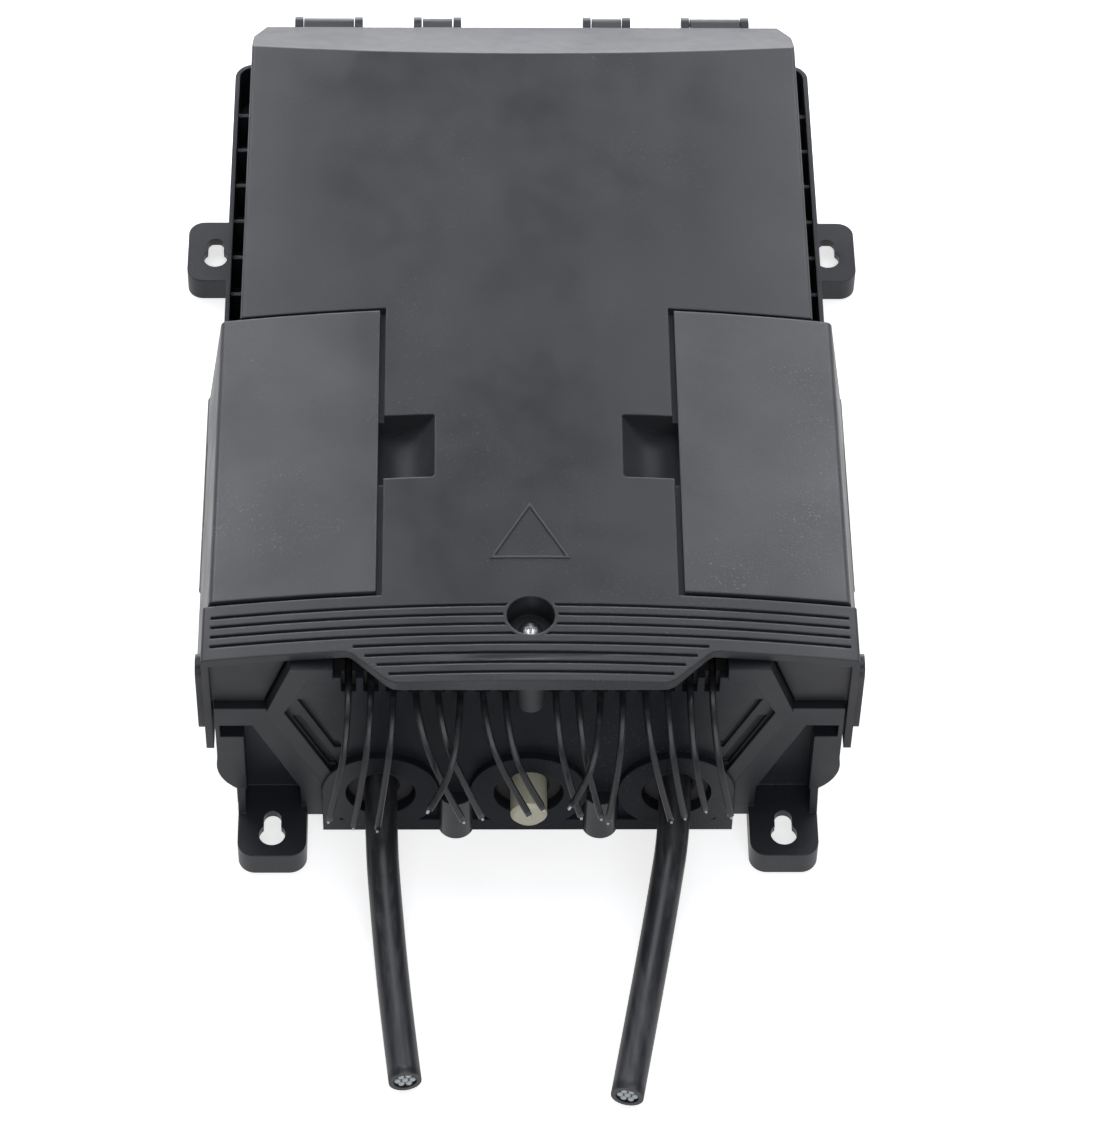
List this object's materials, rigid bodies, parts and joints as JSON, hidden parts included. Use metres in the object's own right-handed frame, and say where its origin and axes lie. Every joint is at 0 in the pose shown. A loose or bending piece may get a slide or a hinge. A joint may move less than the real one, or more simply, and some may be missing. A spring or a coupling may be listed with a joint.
{
  "type": "fibre distribution box",
  "caption": "Wall-mounted black fibre-optic distribution box with a hinged crowned cover, wrap-over side latches, round feeder ports and a comb of flat drop cables along its lower end.",
  "frame": {"origin": "middle of the box's footprint on its wall face, with the loose cables left out", "axes": "+Z out of the cover, away from the wall; +Y towards the hinge end; +X to the right with the cable entries towards the viewer"},
  "size_m": [0.254, 0.4433, 0.1],
  "materials": {
    "base_plastic": "fine moulded grain",
    "cover_plastic": "fine moulded grain",
    "latch_plastic": "fine moulded grain",
    "seal_rubber": "matte",
    "plug_plastic": "satin cream",
    "steel": "bright",
    "brass": "turned",
    "panel_plastic": "satin grey",
    "adapter_plastic": "satin green",
    "connector_plastic": "satin green",
    "tray_plastic": "satin light grey",
    "lid_plastic": "smoky clear plastic",
    "feeder_jacket": "glossy black jacket",
    "drop_jacket": "satin black jacket"
  },
  "bodies": {
    "base": {"base": "base_plastic", "cover_gasket": "seal_rubber", "gland_left": "seal_rubber", "gland_centre": "seal_rubber", "gland_right": "seal_rubber", "drop_seal": "seal_rubber", "port_plug": "plug_plastic", "hinge_pin_left": "steel", "hinge_pin_right": "steel", "clamp_screws": "steel", "panel_screws": "steel", "tray_screws": "steel", "screw_insert": "brass", "adapter_panel": "panel_plastic", "fibre_adapters": "adapter_plastic", "drop_connectors": "connector_plastic", "splice_tray": "tray_plastic", "tray_lid": "lid_plastic", "splice_holder": "panel_plastic", "splitter": "steel", "feeder_clamp_left": "panel_plastic", "feeder_clamp_right": "panel_plastic", "feeder_cable_left": "feeder_jacket", "feeder_cable_right": "feeder_jacket", "drop_cable_01": "drop_jacket", "drop_cable_02": "drop_jacket", "drop_cable_03": "drop_jacket", "drop_cable_04": "drop_jacket", "drop_cable_05": "drop_jacket", "drop_cable_06": "drop_jacket", "drop_cable_07": "drop_jacket", "drop_cable_08": "drop_jacket", "drop_cable_09": "drop_jacket", "drop_cable_10": "drop_jacket", "drop_cable_11": "drop_jacket", "drop_cable_12": "drop_jacket", "drop_cable_13": "drop_jacket", "drop_cable_14": "drop_jacket", "drop_cable_15": "drop_jacket", "drop_cable_16": "drop_jacket"},
    "cover": {"cover": "cover_plastic", "cover_screw": "steel", "screw_washer": "seal_rubber", "latch_pin_left": "steel", "latch_pin_right": "steel"},
    "latch_left": {"latch_left": "latch_plastic"},
    "latch_right": {"latch_right": "latch_plastic"}
  },
  "joints": [
    {"name": "cover_hinge", "type": "hinge", "parent": "base", "child": "cover", "pos_m": [0, 0.16925, 0.065], "axis": [-1, 0, 0], "range_deg": [0, 110]},
    {"name": "latch_left_hinge", "type": "hinge", "parent": "cover", "child": "latch_left", "pos_m": [-0.1105, -0.04325, 0.045], "axis": [0, -1, 0], "range_deg": [0, 100]},
    {"name": "latch_right_hinge", "type": "hinge", "parent": "cover", "child": "latch_right", "pos_m": [0.1105, -0.04325, 0.045], "axis": [0, 1, 0], "range_deg": [0, 100]}
  ]
}
